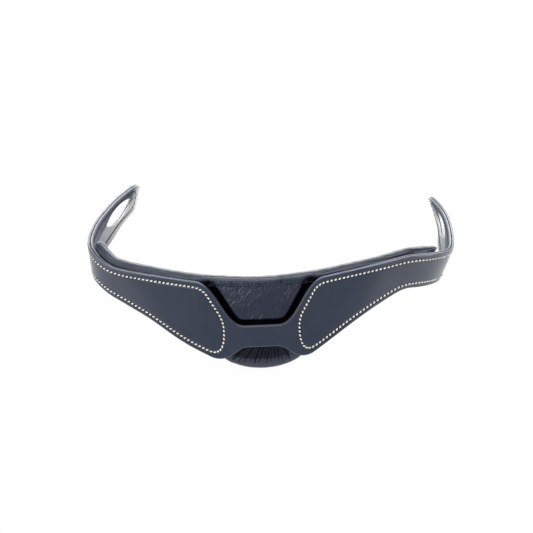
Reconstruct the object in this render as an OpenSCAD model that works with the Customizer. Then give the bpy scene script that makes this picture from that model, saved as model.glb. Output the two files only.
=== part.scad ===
// Breast collar of a pony's driving harness: a shaped leather strap with a soft pad.
//
// The strap is a sandwich of face leather, nylon web and backing leather. It is described in
// its own frame first: s runs along the strap from its centre (left is negative), z up the
// strap, and d into its thickness from the outer face. The whole collar is then laid down
// on the pad's foot and the tips of both arms, which stand on z = 0.

/* [Strap] */
// Length of the strap from its centre to the tip of an arm
half_length = 395; // [350:1:430]
// Distance from the centre to the line that an arm flexes about
flex_s = 204; // [200:1:210]
// Thickness of the face leather
face_t = 2.4; // [2:0.1:4]
// Thickness of the nylon tension web
web_t = 0.6; // [0.4:0.1:1]
// Thickness of the backing leather
backing_t = 2.2; // [1.8:0.1:4]
// Gap between two layers
layer_gap = 0.1; // [0.05:0.01:0.2]
// Distance from the leather's edge to the web's edge
web_inset = 2; // [1:0.1:3]

/* [Front outline] */
// Height of the bridge's top edge above the lobes
bridge_top = 33.5; // [30:0.5:42]
// Height of the bridge's arched bottom edge above the lobes
arch_top = 11.5; // [8:0.5:18]
// Half width of the top notch at its foot
notch_foot = 27.5; // [20:0.5:30]
// Half width of the top notch at its mouth
notch_mouth = 55; // [50:0.5:64]
// Half width of the arch along its crown
arch_crown = 19.5; // [14:0.5:24]
// Half width of the arch at the lobes
arch_foot = 35.5; // [32:0.5:40]
// Half width across the flat tips of the lobes
lobe_end = 47; // [43:0.5:52]
// Height of the wing's top edge beside the notch
wing_top = 79; // [74:0.5:88]
// Height of the wing's top edge at the corner of the collar
corner_top = 93.5; // [88:0.5:100]
// Height of the wing's bottom edge halfway along it
wing_low = 35.5; // [32:0.5:42]
// Height of the wing's bottom edge at the corner of the collar
corner_low = 60; // [52:0.5:62]
// How much deeper the left wing's lower edge bulges than the right one's
left_belly = 4.4; // [0:0.2:6]
// How much higher the left arm's lower edge runs round its corner
left_lift = 4.8; // [0:0.2:6]
// Half width of the rounding of the outline's corners
outline_round = 5; // [2:0.5:7]

/* [Bend of the front] */
// Radius of the front in plan
front_r = 505; // [350:5:600]
// Half length of the front
front_s = 150; // [140:1:160]
// Lean of the front's top edge
front_lean = -4; // [-6:0.5:2]
// Distance from the centre at which that lean starts to change
lean_from = 90; // [70:5:120]

/* [Arms] */
// Width of an arm
arm_w = 37; // [34:0.5:44]
// Length of the slot in an arm's eye
slot_len = 94; // [70:1:110]
// Height of the slot in an arm's eye
slot_h = 20; // [12:0.5:23]
// Leather left between the slot and the tip
slot_end = 12; // [9:0.5:20]
// Angle that an arm flexes inwards
flex_in = 20; // [5:1:30]
// Angle that an arm flexes outwards
flex_out = 35; // [5:1:45]
// Clearance at the line that an arm flexes about
flex_gap = 0.4; // [0.3:0.05:0.8]

/* [Left arm as it lies] */
// Radius of the left corner
left_corner_r = 38; // [30:1:60]
// Angle of the left corner
left_corner_turn = 66; // [55:1:72]
// Radius of the left arm in plan
left_arm_r = 400; // [300:5:600]
// Lean of the strap where the left corner starts
left_bend_lean = 4.5; // [0:0.5:10]
// Height of the left arm's centre line past the corner
left_corner_z = 95.5; // [84:0.5:100]
// Height of the left arm's centre line halfway along it
left_mid_z = 104; // [86:1:106]
// Height of the left arm's centre line at its tip
left_tip_z = 116; // [98:1:120]
// Lean of the left arm past the corner
left_corner_lean = 4; // [-5:1:15]
// Angle that the lower half of the left arm is folded in by, at its middle
left_fold = 34; // [0:1:40]
// That angle at the left arm's tip
left_tip_fold = 8; // [0:1:30]
// Lean of the left arm at its tip
left_tip_lean = -23; // [-30:1:0]

/* [Right arm as it lies] */
// Radius of the right corner
right_corner_r = 76; // [45:1:85]
// Angle of the right corner
right_corner_turn = 57; // [50:1:70]
// Radius of the right arm in plan
right_arm_r = 448; // [300:5:600]
// Lean of the strap where the right corner starts
right_bend_lean = 10; // [0:0.5:15]
// Height of the right arm's centre line past the corner
right_corner_z = 68; // [64:1:84]
// Height of the right arm's centre line halfway along it
right_mid_z = 81; // [64:1:84]
// Height of the right arm's centre line at its tip
right_tip_z = 88; // [78:1:96]
// Lean of the right arm past the corner
right_corner_lean = 22; // [10:1:32]
// Angle that the lower half of the right arm is folded in by, at its middle
right_fold = 28; // [0:1:40]
// That angle at the right arm's tip
right_tip_fold = 8; // [0:1:30]
// Lean of the right arm at its tip
right_tip_lean = -25; // [-30:1:0]

/* [Pad] */
// Distance from the centre to the end of the pad
pad_s = 198; // [160:1:199]
// Radius of the roll along the pad's top edge
roll_r = 7; // [6:0.25:9]
// Gap between the strap and the roll
roll_gap = 2; // [1.5:0.25:5]
// Height of the pad's roll above the wing's top edge
roll_rise = 5; // [3:0.5:10]
// Height of the pad's top at the centre above the lobes
pad_top_mid = 80.5; // [76:0.5:88]
// Depth of the pad's foot below the lobes
pad_drop = 16; // [10:0.5:22]
// Half width of the pad's foot
foot_half = 42; // [36:1:48]
// Distance from the wing's bottom edge to the pad's
pad_inset = 7; // [4:0.5:12]
// Thickness of the pad's body at the centre
pad_t = 20; // [16:0.5:26]
// Thickness of the pad's soft leather
cover_t = 1.5; // [1:0.1:2.5]
// Clearance between soft pieces
soft_gap = 0.25; // [0.1:0.05:0.4]
// Gap between the strap and the pad, which the fixing strips fill
pad_gap = 1.6; // [1:0.1:2.5]
// Width of a fixing strip
strip_w = 14; // [8:0.5:18]
// Distance from the centre to the inner end of a fixing strip
strip_a = 64; // [58:1:80]
// Distance from the centre to the outer end of a fixing strip
strip_b = 142; // [100:1:144]
// Depth of the flat that the pad stands on
foot_flat = 0.5; // [0.3:0.1:1]

/* [Stitching] */
// Distance between two stitches
stitch_pitch = 4.2; // [4:0.1:8]
// Length of a stitch on the surface
stitch_len = 3.3; // [2:0.1:4]
// Thickness of the thread
thread_d = 1.2; // [0.8:0.1:1.6]
// Distance from the leather's edge to the stitching
stitch_inset = 5.5; // [4:0.1:7]
// Distance from the foot of the notch to the stitching beside it
notch_margin = 10.5; // [8:0.5:14]

/* [Hidden] */

leather = [0.23, 0.26, 0.31];
edge_leather = [0.16, 0.17, 0.20];
web_colour = [0.08, 0.08, 0.09];
soft_leather = [0.17, 0.17, 0.21];
foam_colour = [0.75, 0.73, 0.62];
thread_colour = [0.90, 0.89, 0.86];

strap_t = face_t + web_t + backing_t + 2 * layer_gap;
web_d = face_t + layer_gap;
backing_d = web_d + web_t + layer_gap;
station_step = 4;          // distance between two rings of the swept leather
soft_step = 9;             // distance between two rings of the swept pad
tip_power = 3;             // 2 would make the tips round, more makes them squarer
same = 0.001;              // heights closer than this are one
arm_blend = 16;            // half length over which heights and leans pass into each other
tip_s = half_length - arm_w / 2;

// The pad's panel from its face down to the foot and up its back: for each point its share of
// the panel's thickness, and how far down it is from the crease to the foot
panel = [[0, 0.45], [0.015, 0.7], [0.1, 0.88], [0.25, 0.97], [0.45, 1], [0.75, 0.97],
         [0.95, 0.86], [1, 0.6], [0.975, 0.08]];
foot_p = 4;                // place of the foot in the panel's points
pad_face_d = strap_t + pad_gap;

// ---- plan curve of the strap's outer face ----

function side_of(s) = s < 0 ? 0 : 1;
function corner_r(s) = [left_corner_r, right_corner_r][side_of(s)];
function corner_turn(s) = [left_corner_turn, right_corner_turn][side_of(s)];
function arm_r(s) = [left_arm_r, right_arm_r][side_of(s)];
function corner_end(s) = front_s + corner_r(s) * corner_turn(s) * PI / 180;
function degrees_of(len, r) = len / r * 180 / PI;

// Direction of the strap in plan at s
function heading(s) = let (a = abs(s), front = degrees_of(min(a, front_s), front_r))
    a <= front_s ? front
    : a <= corner_end(s) ? front + degrees_of(a - front_s, corner_r(s))
    : front + corner_turn(s) + degrees_of(a - corner_end(s), arm_r(s));

// Step along an arc of radius r, from heading h0 to heading h1
function arc_step(r, h0, h1) = r * [sin(h1) - sin(h0), cos(h0) - cos(h1)];

// Place of the strap in plan at s, on the right-hand side
function plan_half(s) = let (a = abs(s), h = heading(s), h1 = heading(sign(s) * front_s),
                             h2 = h1 + corner_turn(s))
    a <= front_s ? arc_step(front_r, 0, h)
    : a <= corner_end(s) ? arc_step(front_r, 0, h1) + arc_step(corner_r(s), h1, h)
    : arc_step(front_r, 0, h1) + arc_step(corner_r(s), h1, h2) + arc_step(arm_r(s), h2, h);

// ---- outline: heights of the strap's edges at s ----

// A table read with its corners rounded over r to each side
function mean(v) = v * [for (x = v) 1] / len(v);
function soft(table, s, r) = mean([for (k = [-4:4]) lookup(abs(s + r * k / 4), table)]);

function arm_mid_s(s) = (corner_end(s) + half_length) / 2;
wing_mid_s = (lobe_end + front_s) / 2;
corner_mid_z = (corner_top + corner_low) / 2;
top_table = [[0, bridge_top], [notch_foot, bridge_top], [notch_mouth, wing_top],
             [front_s, corner_top], [2 * front_s, 2 * corner_top - wing_top]];
notch_round = 9;           // half length over which the bends of the notch are rounded
wing_round = 20;           // half length over which the bends of the wings' lower edge are rounded
belly_s = 82;              // distance along the strap at which the left wing bulges most
belly_reach = 45;          // how far the bulge runs to each side
lift_s = 172;              // distance at which the left arm's lower edge is raised most
lift_reach = 50;           // how far the raised edge runs to each side
low_table = [[0, arch_top], [arch_crown, arch_top], [arch_foot, 0], [lobe_end, 0],
             [wing_mid_s, wing_low], [front_s, corner_low],
             [2 * front_s, 2 * corner_low - wing_low]];
function mid_table(s) = let (k = side_of(s))
    [[wing_mid_s, corner_mid_z - (corner_low - wing_low) / 2], [front_s, corner_mid_z],
     [corner_end(s), [left_corner_z, right_corner_z][k]],
     [arm_mid_s(s), [left_mid_z, right_mid_z][k]],
     [half_length, [left_tip_z, right_tip_z][k]]];
function lean_table(s) = let (k = side_of(s))
    [[0, front_lean], [lean_from, front_lean], [front_s, [left_bend_lean, right_bend_lean][k]],
     [corner_end(s), [left_corner_lean, right_corner_lean][k]],
     [half_length, [left_tip_lean, right_tip_lean][k]]];

// The lower half of an arm is folded in along its middle
function fold_table(s) = let (k = side_of(s))
    [[flex_s + arm_blend, 0], [arm_mid_s(s), [left_fold, right_fold][k]],
     [half_length, [left_tip_fold, right_tip_fold][k]]];
function fold(s) = soft(fold_table(s), s, arm_blend);

// Half width of the arm, whose end is rounded
function arm_half(s) = let (u = (abs(s) - tip_s) / (arm_w / 2))
    arm_w / 2 * (u <= 0 ? 1 : pow(max(1 - pow(u, tip_power), 0.001), 1 / tip_power));
// 0 on the front, 1 on the arm
function smooth_step(t) = let (c = max(0, min(1, t))) c * c * (3 - 2 * c);
function arm_share(s) = smooth_step((abs(s) - front_s + arm_blend) / (2 * arm_blend));
function mix(a, b, t) = a * (1 - t) + b * t;
function arm_mid(s) = soft(mid_table(s), s, arm_blend);
function top_z(s) = mix(soft(top_table, s, notch_round), arm_mid(s) + arm_half(s), arm_share(s));
function low_edge(s) = soft(low_table, s, abs(s) > (lobe_end + wing_mid_s) / 2 ? wing_round : outline_round);
function hump(s, middle, reach) = smooth_step(1 - abs(abs(s) - middle) / reach);
function left_shift(s) = s >= 0 ? 0
    : left_lift * hump(s, lift_s, lift_reach) - left_belly * hump(s, belly_s, belly_reach);
function low_z(s) = mix(low_edge(s), arm_mid(s) - arm_half(s), arm_share(s)) + left_shift(s);
function mid_z(s) = (top_z(s) + low_z(s)) / 2;
function lean(s) = soft(lean_table(s), s, arm_blend);

// ---- place of a point of the strap: s along it, z up it, d into it, shifted along s by ds ----

function mirror_x(s) = s < 0 ? -1 : 1;
function along(s) = let (h = heading(s)) [mirror_x(s) * cos(h), sin(h), 0] * mirror_x(s);
function outwards(s) = let (h = heading(s)) [mirror_x(s) * sin(h), -cos(h), 0];
function up_at(s, t) = outwards(s) * sin(t) + [0, 0, cos(t)];
function into_at(s, t) = -outwards(s) * cos(t) + [0, 0, sin(t)];
function level(s, z) = abs(z - mid_z(s)) < same;
function tilt(s, z) = lean(s) + fold(s) * (level(s, z) ? 0.5 : z > mid_z(s) ? 0 : 1);
function at(s, z, d, ds = 0) = let (p = plan_half(s), m = mid_z(s), t = tilt(s, z))
    [mirror_x(s) * p.x, p.y, m] + (z - m) * up_at(s, t) + ds * along(s)
    + d / cos(level(s, z) ? fold(s) / 2 : 0) * into_at(s, t);

// ---- how the collar lies: on the pad's foot and the lowest point of each arm ----

foot = at(0, -pad_drop + foot_flat, pad_face_d + pad_t * panel[foot_p].x);
function arm_low(k) = [for (s = [flex_s : station_step : half_length]) for (d = [0, strap_t])
    at(k * s, low_z(k * s), d)];
function slope(p) = (p.z - foot.z) / (p.y - foot.y);
function flattest(pts) = let (m = min([for (p = pts) slope(p)])) [for (p = pts) if (slope(p) == m) p][0];
function unit(v) = v / norm(v);
left_tip = flattest(arm_low(-1));
right_tip = flattest(arm_low(1));
floor_n = unit(cross(right_tip - foot, left_tip - foot));
floor_x = unit(cross([0, 1, 0], floor_n));
floor_y = cross(floor_n, floor_x);
function turn(v) = [floor_x * v, floor_y * v, floor_n * v];
function lay(p) = turn(p - foot);

// ---- swept solids ----

function flat_list(v) = [for (a = v) for (b = a) b];
function quad(a, b, c, d) = [[a, b, c], [a, c, d]];

// Rings of equal length, joined in order and closed by a fan at each end. The second half of
// a ring is cut along the other diagonal, so that two layers' facing sides match.
module loft(rings) {
    n = len(rings[0]);
    last = (len(rings) - 1) * n;
    function wall(a, b, c, d, j) = j < n / 2 ? quad(a, b, c, d) : quad(b, c, d, a);
    walls = flat_list([for (i = [0:len(rings) - 2]) for (j = [0:n - 1])
        wall(i * n + j, (i + 1) * n + j, (i + 1) * n + (j + 1) % n, i * n + (j + 1) % n, j)]);
    caps = flat_list([for (j = [1:n - 2]) [[0, j, j + 1], [last, last + j + 1, last + j]]]);
    polyhedron(points = [for (p = flat_list(rings)) lay(p)], faces = concat(walls, caps));
}

// Rings whose first half is an outer skin and whose second half is the inner one, reversed
module loft_shell(rings) {
    n = len(rings[0]);
    last = (len(rings) - 1) * n;
    walls = flat_list([for (i = [0:len(rings) - 2]) for (j = [0:n - 1])
        quad(i * n + j, (i + 1) * n + j, (i + 1) * n + (j + 1) % n, i * n + (j + 1) % n)]);
    caps = flat_list([for (j = [0:n / 2 - 2])
        concat(quad(j, j + 1, n - 2 - j, n - 1 - j),
               quad(last + j, last + n - 1 - j, last + n - 2 - j, last + j + 1))]);
    polyhedron(points = [for (p = flat_list(rings)) lay(p)], faces = concat(walls, caps));
}

// Room that the flexing arm needs at depth d, to each side of the line it flexes about
function flex_room(d) = let (x = d - strap_t / 2)
    flex_gap / 2 + abs(x) * tan((x < 0 ? flex_out : flex_in) / 2);

// One ring of a layer of the front, from depth d0 to d1
function band_ring(s, d0, d1, inset, end = 0) = [
    at(s, top_z(s) - inset, d0, end * flex_room(d0)), at(s, low_z(s) + inset, d0, end * flex_room(d0)),
    at(s, low_z(s) + inset, d1, end * flex_room(d1)), at(s, top_z(s) - inset, d1, end * flex_room(d1))];

front_stations = let (n = floor((flex_s - 2) / station_step)) [for (i = [-n:n]) i * station_step];
module front_layer(d0, d1, inset = 0) {
    loft(concat([band_ring(-flex_s, d0, d1, inset, 1)],
                [for (s = front_stations) band_ring(s, d0, d1, inset)],
                [band_ring(flex_s, d0, d1, inset, -1)]));
}

// ---- arms ----

slot_b = half_length - slot_end;
slot_a = slot_b - slot_len;
slot_mid = (slot_a + slot_b) / 2;
// Half height of the slot at s: a long pointed oval
function slot_half(s) = let (u = (abs(s) - slot_mid) / (slot_len / 2))
    abs(u) >= 1 ? 0 : slot_h / 2 * pow(1 - u * u, 0.7);

// Eight points of an arm's layer: outer top, slot top, slot bottom, outer bottom, twice
function arm_ring(s, d0, d1, inset, end = 0) =
    let (c = arm_mid(s), h = slot_half(s), hi = h > 0 ? h + inset : 0)
    flat_list([for (d = [d0, d1]) [for (z = [top_z(s) - inset, c + hi, c - hi, low_z(s) + inset])
        at(s, z, d, end * flex_room(d))]]);

tip_steps = [4, 1.5, 0];    // distances of an arm's last rings from its tip
function arm_stations(inset) = let (a = slot_a - inset, b = slot_b + inset, step = station_step,
                                    n1 = floor((a - flex_s) / step), n2 = round((b - a) / step))
    concat([for (i = [1:n1 - 1]) flex_s + (a - flex_s) * i / n1],
           [for (i = [0:n2]) a + (b - a) * i / n2]);

// A layer of an arm: k is -1 on the left and 1 on the right
module arm_layer(k, d0, d1, inset = 0) {
    inner = arm_stations(inset);
    tip = half_length - inset;
    all = concat([flex_s], inner, [for (x = tip_steps) tip - x]);
    m = len(all);
    rings = [for (i = [0:m - 1]) arm_ring(k * all[i], d0, d1, inset, i == 0 ? k : 0)];
    function open(i) = slot_half(all[i]) > 0;
    // Where the slot is closed its two edges are one
    function id(i, j) = i * 8 + (open(i) ? j : j == 2 ? 1 : j == 6 ? 5 : j);
    function way(f) = k > 0 ? f : [for (t = f) [t[0], t[2], t[1]]];
    skin = flat_list([for (i = [0:m - 2]) for (j = [0, 2])
        concat(quad(id(i, j), id(i + 1, j), id(i + 1, j + 1), id(i, j + 1)),
               quad(id(i, j + 4), id(i, j + 5), id(i + 1, j + 5), id(i + 1, j + 4)))]);
    rims = flat_list([for (i = [0:m - 2])
        concat(quad(id(i, 0), id(i, 4), id(i + 1, 4), id(i + 1, 0)),
               quad(id(i, 3), id(i + 1, 3), id(i + 1, 7), id(i, 7)))]);
    slot = flat_list([for (i = [0:m - 2]) if (open(i) || open(i + 1))
        concat(quad(id(i, 1), id(i + 1, 1), id(i + 1, 5), id(i, 5)),
               quad(id(i, 2), id(i, 6), id(i + 1, 6), id(i + 1, 2)))]);
    e = m - 1;
    caps = concat(quad(id(0, 0), id(0, 1), id(0, 5), id(0, 4)),
                  quad(id(0, 2), id(0, 3), id(0, 7), id(0, 6)),
                  quad(id(e, 0), id(e, 4), id(e, 5), id(e, 1)),
                  quad(id(e, 2), id(e, 6), id(e, 7), id(e, 3)));
    // A face whose corners meet in one point of the slot's end is left out
    sound = [for (t = concat(skin, rims, slot, caps))
        if (t[0] != t[1] && t[1] != t[2] && t[0] != t[2]) t];
    polyhedron(points = [for (p = flat_list(rings)) lay(p)], faces = way(sound));
}
module face_arm(k) color(leather) arm_layer(k, 0, face_t);
module web_arm(k) color(web_colour) arm_layer(k, web_d, web_d + web_t, web_inset);
module backing_arm(k) color(edge_leather) arm_layer(k, backing_d, strap_t);

module face_leather_front() color(leather) front_layer(0, face_t);
module web_front() color(web_colour) front_layer(web_d, web_d + web_t, web_inset);
module backing_leather_front() color(edge_leather) front_layer(backing_d, strap_t);

// ---- stitching: loops of points [s, z] on the outer face ----

stitch_round = 8;          // half length over which a stitch line's corners are rounded
thread_gap = 0.15;         // clearance between the thread and the leather
thread_rise = thread_d / 2;
loop_step = 8;             // distance between two points of a stitch line
loop_end = 4;              // distance from a stitch line's end to where an arm flexes

// Running length at each point of an outline
function running(pts) = [for (i = 0, t = 0; i < len(pts);
    t = t + (i + 1 < len(pts) ? norm(pts[i + 1] - pts[i]) : 0), i = i + 1) t];
function walk(table, t) = mean([for (k = [-4:4]) lookup(t + stitch_round * k / 4, table)]);

// Round a wing: out of the corner, down beside the notch, round the lobe and back
function wing_loop(k) = let (x = notch_foot + notch_margin) concat(
    [for (s = [flex_s - loop_end : -loop_step : notch_mouth + loop_step])
        [k * s, top_z(k * s) - stitch_inset]],
    [[k * (notch_mouth + stitch_inset / 2), wing_top - stitch_inset],
     [k * x, bridge_top + stitch_inset], [k * x, arch_top + stitch_inset],
     [k * (x + stitch_inset), stitch_inset]],
    [for (s = [lobe_end : loop_step : flex_s - loop_end]) [k * s, low_z(k * s) + stitch_inset]]);

// Along an arm's top edge, round its tip and back
function arm_loop(k) = let (r = arm_w / 2 - stitch_inset, b = tip_s - loop_step / 2) concat(
    [for (s = [flex_s + loop_end : loop_step : b]) [k * s, top_z(k * s) - stitch_inset]],
    [for (a = [90 : -20 : -90]) let (s = k * (tip_s + r * cos(a))) [s, arm_mid(s) + r * sin(a)]],
    [for (s = [b : -loop_step : flex_s + loop_end]) [k * s, low_z(k * s) + stitch_inset]]);

// One stitch on the outer face, from one point to another
module stitch(a, b) {
    m = (a + b) / 2;
    run = unit(turn(at(b.x, b.y, 0) - at(a.x, a.y, 0)));
    skin = turn(cross(at(m.x + 1, m.y, 0) - at(m.x - 1, m.y, 0), up_at(m.x, tilt(m.x, m.y))));
    over = unit(cross(unit(skin), run));
    out = cross(run, over);
    c = lay(at(m.x, m.y, 0)) + out * (thread_gap + thread_rise / 2);
    multmatrix([[run.x, over.x, out.x, c.x], [run.y, over.y, out.y, c.y],
                [run.z, over.z, out.z, c.z], [0, 0, 0, 1]])
        cube([stitch_len, thread_d, thread_rise], center = true);
}
module stitches(pts) {
    cum = running(pts);
    xs = [for (i = [0:len(pts) - 1]) [cum[i], pts[i].x]];
    zs = [for (i = [0:len(pts) - 1]) [cum[i], pts[i].y]];
    total = cum[len(cum) - 1];
    count = floor(total / stitch_pitch);
    for (i = [0:count - 1]) {
        t = (i + 0.5) * total / count;
        stitch([walk(xs, t - 1), walk(zs, t - 1)], [walk(xs, t + 1), walk(zs, t + 1)]);
    }
}
module wing_stitches(k) color(thread_colour) stitches(wing_loop(k));
module arm_stitches(k) color(thread_colour) stitches(arm_loop(k));

// ---- pad: a roll along the top, a crease under it and a body that ends in a foot ----

pad_round = 22;            // half length over which the roll's bends are rounded
pad_end = 18;              // length over which each end of the pad is rounded
end_share = 0.42;          // share of the pad's section that is left at its very end
pad_taper = 0.3;           // share of the panel's thickness that is lost towards the ends
crease_share = 0.55;       // depth of the crease as a share of the roll's radius
crease_gap = 0.5;          // distance from the roll to the crease
crease_fall = 4.5;         // distance from the crease to where the panel meets its face
roll_d = strap_t + roll_gap + roll_r;
pad_join = 14;             // length over which the pad's foot passes into its wing
pad_join_s = lobe_end + pad_join;

right_fall = 3;            // how much lower the roll ends on the right
function rise(s) = roll_rise - right_fall * smooth_step((s - front_s) / (pad_s - front_s));
function pad_top(s) = abs(s) > notch_mouth + 2 * pad_round ? top_z(s) + rise(s)
    : soft([[0, pad_top_mid], [notch_mouth, wing_top + roll_rise],
            [front_s, corner_top + roll_rise]], s, pad_round);
pad_low_table = concat([for (u = [0, 1 / 3, 2 / 3, 1]) [foot_half * u, -pad_drop * pow(1 - u * u, 0.8)]],
    [for (s = [pad_join_s, pad_join_s + pad_join]) [s, low_z(s) + pad_inset]]);
function pad_low(s) = abs(s) > pad_join_s + outline_round ? low_z(s) + pad_inset
    : soft(pad_low_table, s, outline_round);
function pad_thick(s) = pad_t * (1 - pad_taper * abs(s) / pad_s);

// Share of the pad's section that is left at s
function end_scale(s) = let (u = (abs(s) - pad_s + pad_end) / pad_end)
    u <= 0 ? 1 : max(end_share, sqrt(max(0, 1 - u * u)));

// Outline [d, z] of the pad at s: round the roll to the crease, down the panel and up its back
function pad_outline(s) =
    let (top = pad_top(s), low = pad_low(s), c = [roll_d, top - roll_r],
         y = top - 2 * roll_r - crease_gap,
         pts = concat([for (a = [60:30:210]) c + roll_r * [cos(a), sin(a)]],
                      [[roll_d - crease_share * roll_r, y], [pad_face_d + 1, y - crease_fall]],
                      [for (p = panel) [pad_face_d + p.x * pad_thick(s), y - p.y * (y - low)]],
                      [for (a = [-30, 0, 30]) c + roll_r * [cos(a), sin(a)]]))
    [for (p = pts) c + (p - c) * end_scale(s)];
crease_i = 6;              // place of the crease in the outline
foot_i = crease_i + 2 + foot_p;
back_i = crease_i + 1 + len(panel);
last_i = back_i + 3;       // last point of the outline

// A closed outline drawn in by t
function inset(v, t) = let (n = len(v)) [for (i = [0:n - 1])
    let (e1 = unit(v[i] - v[(i + n - 1) % n]), e2 = unit(v[(i + 1) % n] - v[i]),
         n1 = [-e1.y, e1.x], n2 = [-e2.y, e2.x]) v[i] + t * (n1 + n2) / (1 + n1 * n2)];
function trim(v, g) = let (n = len(v)) [for (i = [0:n - 1])
    i == 0 ? v[0] + unit(v[1] - v[0]) * g
    : i == n - 1 ? v[i] + unit(v[i - 1] - v[i]) * g : v[i]];
function reverse(v) = [for (i = [len(v) - 1:-1:0]) v[i]];

// Section of one half of the cover: the skin from point i0 to point i1 of the outline
function skin_ring(s, i0, i1, closed) =
    let (o = pad_outline(s), n = len(o), q = inset(o, cover_t),
         outer = trim([for (i = [i0:i1]) o[i % n]], soft_gap / 2),
         inner = trim([for (i = [i0:i1]) q[i % n]], soft_gap / 2),
         m = len(inner) - 1,
         chord = [for (i = [0:m]) mix(inner[0], inner[m], i / m)])
    [for (p = concat(outer, reverse(closed ? chord : inner))) at(s, p.y, p.x)];

end_steps = [1, 0.6, 0.35, 0.2];    // places of the pad's last rings, as shares of pad_end
pad_half_stations = concat([for (s = [soft_step : soft_step : pad_s - pad_end - 2]) s],
                           [for (u = end_steps) pad_s - pad_end * u]);
function both_ways(v) = concat([for (s = reverse(v)) -s], [0], v);
end_gap = 0.2;             // step between the closed end of a cover and its open part
module pad_skin(i0, i1) {
    open = pad_s - cover_t - end_gap;
    body = [for (s = both_ways(concat(pad_half_stations, [open]))) skin_ring(s, i0, i1, false)];
    function closed(v) = [for (s = v) skin_ring(s, i0, i1, true)];
    difference() {
        loft_shell(concat(closed([-pad_s, cover_t - pad_s]), body, closed([pad_s - cover_t, pad_s])));
        floor_block();
    }
}
// What lies below the floor
module floor_block() translate([-pad_s, -pad_s, -pad_s]) cube([2 * pad_s, 2 * pad_s, pad_s]);

foam_stations = both_ways(concat(pad_half_stations, [pad_s - cover_t - 2 * end_gap]));
module pad_front_cover() color(soft_leather) pad_skin(0, foot_i);
module pad_back_cover() color(soft_leather) pad_skin(foot_i, last_i + 1);
module pad_roll_foam() color(foam_colour) loft([for (s = foam_stations)
    let (z = pad_top(s) - roll_r, r = roll_r * end_scale(s) - cover_t - soft_gap)
    [for (a = [0:30:330]) at(s, z + r * sin(a), roll_d + r * cos(a))]]);
module pad_panel_foam() color(foam_colour) loft([for (s = foam_stations)
    let (o = pad_outline(s), v = inset([for (i = [crease_i:back_i]) o[i]], cover_t + soft_gap))
    [for (p = v) at(s, p.y, p.x)]]);

// ---- strips that hold the pad to the strap ----

strip_clear = 0.2;         // clearance on each face of a strip
strip_share = 0.45;        // height of a strip as a share of the panel's
strip_steps = 12;
function strip_mid(s) = mix(pad_low(s), pad_top(s) - 2 * roll_r, strip_share);
function strip_ring(s) = [for (p = [[strip_clear, 1], [strip_clear, -1], [pad_gap - strip_clear, -1],
                                    [pad_gap - strip_clear, 1]])
    at(s, strip_mid(s) + p.y * strip_w / 2, strap_t + p.x)];
module fixing_strip(k) color(web_colour) loft([for (i = [0:strip_steps])
    let (a = k > 0 ? strip_a : -strip_b, b = k > 0 ? strip_b : -strip_a)
    strip_ring(mix(a, b, i / strip_steps))]);

face_leather_front();
web_front();
backing_leather_front();
wing_stitches(-1);  // left_wing_stitches
wing_stitches(1);  // right_wing_stitches
pad_front_cover();
pad_back_cover();
pad_roll_foam();
pad_panel_foam();
fixing_strip(-1);  // left_fixing_strip
fixing_strip(1);  // right_fixing_strip
face_arm(-1);  // face_leather_left_arm
web_arm(-1);  // web_left_arm
backing_arm(-1);  // backing_leather_left_arm
arm_stitches(-1);  // left_arm_stitches
face_arm(1);  // face_leather_right_arm
web_arm(1);  // web_right_arm
backing_arm(1);  // backing_leather_right_arm
arm_stitches(1);  // right_arm_stitches
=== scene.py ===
"""A padded breast collar lying on a white floor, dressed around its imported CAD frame.

The strap's shape is worked out by the same formulas as the CAD source, so that every skin,
stitch and seam lies where its solid is. A place on the strap is given by the side k (LEFT or
RIGHT), the distance a along it from the centre of the front, the height z up it and the depth
d into it, all in millimetres. Blender's own objects are in metres.
"""

import math

import bmesh
import bpy
import numpy as np
from mathutils.kdtree import KDTree
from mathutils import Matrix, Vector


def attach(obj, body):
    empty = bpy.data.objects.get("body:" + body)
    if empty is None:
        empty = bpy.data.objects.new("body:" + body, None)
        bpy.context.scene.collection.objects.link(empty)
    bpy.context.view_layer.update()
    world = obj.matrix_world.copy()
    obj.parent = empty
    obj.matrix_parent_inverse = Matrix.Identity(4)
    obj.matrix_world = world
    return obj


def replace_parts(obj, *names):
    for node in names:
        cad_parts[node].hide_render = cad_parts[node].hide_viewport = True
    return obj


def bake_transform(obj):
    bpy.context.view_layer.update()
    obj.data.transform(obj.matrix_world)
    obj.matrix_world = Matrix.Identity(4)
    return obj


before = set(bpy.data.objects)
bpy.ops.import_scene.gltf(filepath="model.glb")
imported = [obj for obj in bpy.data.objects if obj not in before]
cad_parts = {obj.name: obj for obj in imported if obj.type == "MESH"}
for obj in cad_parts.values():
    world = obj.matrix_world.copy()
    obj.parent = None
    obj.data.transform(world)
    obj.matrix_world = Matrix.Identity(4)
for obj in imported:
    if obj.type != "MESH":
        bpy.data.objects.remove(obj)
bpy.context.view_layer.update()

MM = 0.001
LEFT, RIGHT = 0, 1
SIDES = (("left", LEFT), ("right", RIGHT))

# ---- geometry: driving sizes, mm

HALF_LENGTH, FLEX_S = 395.0, 204.0
FACE_T, WEB_T, BACKING_T, LAYER_GAP = 2.4, 0.6, 2.2, 0.1
STRAP_T = FACE_T + WEB_T + BACKING_T + 2 * LAYER_GAP

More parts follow.
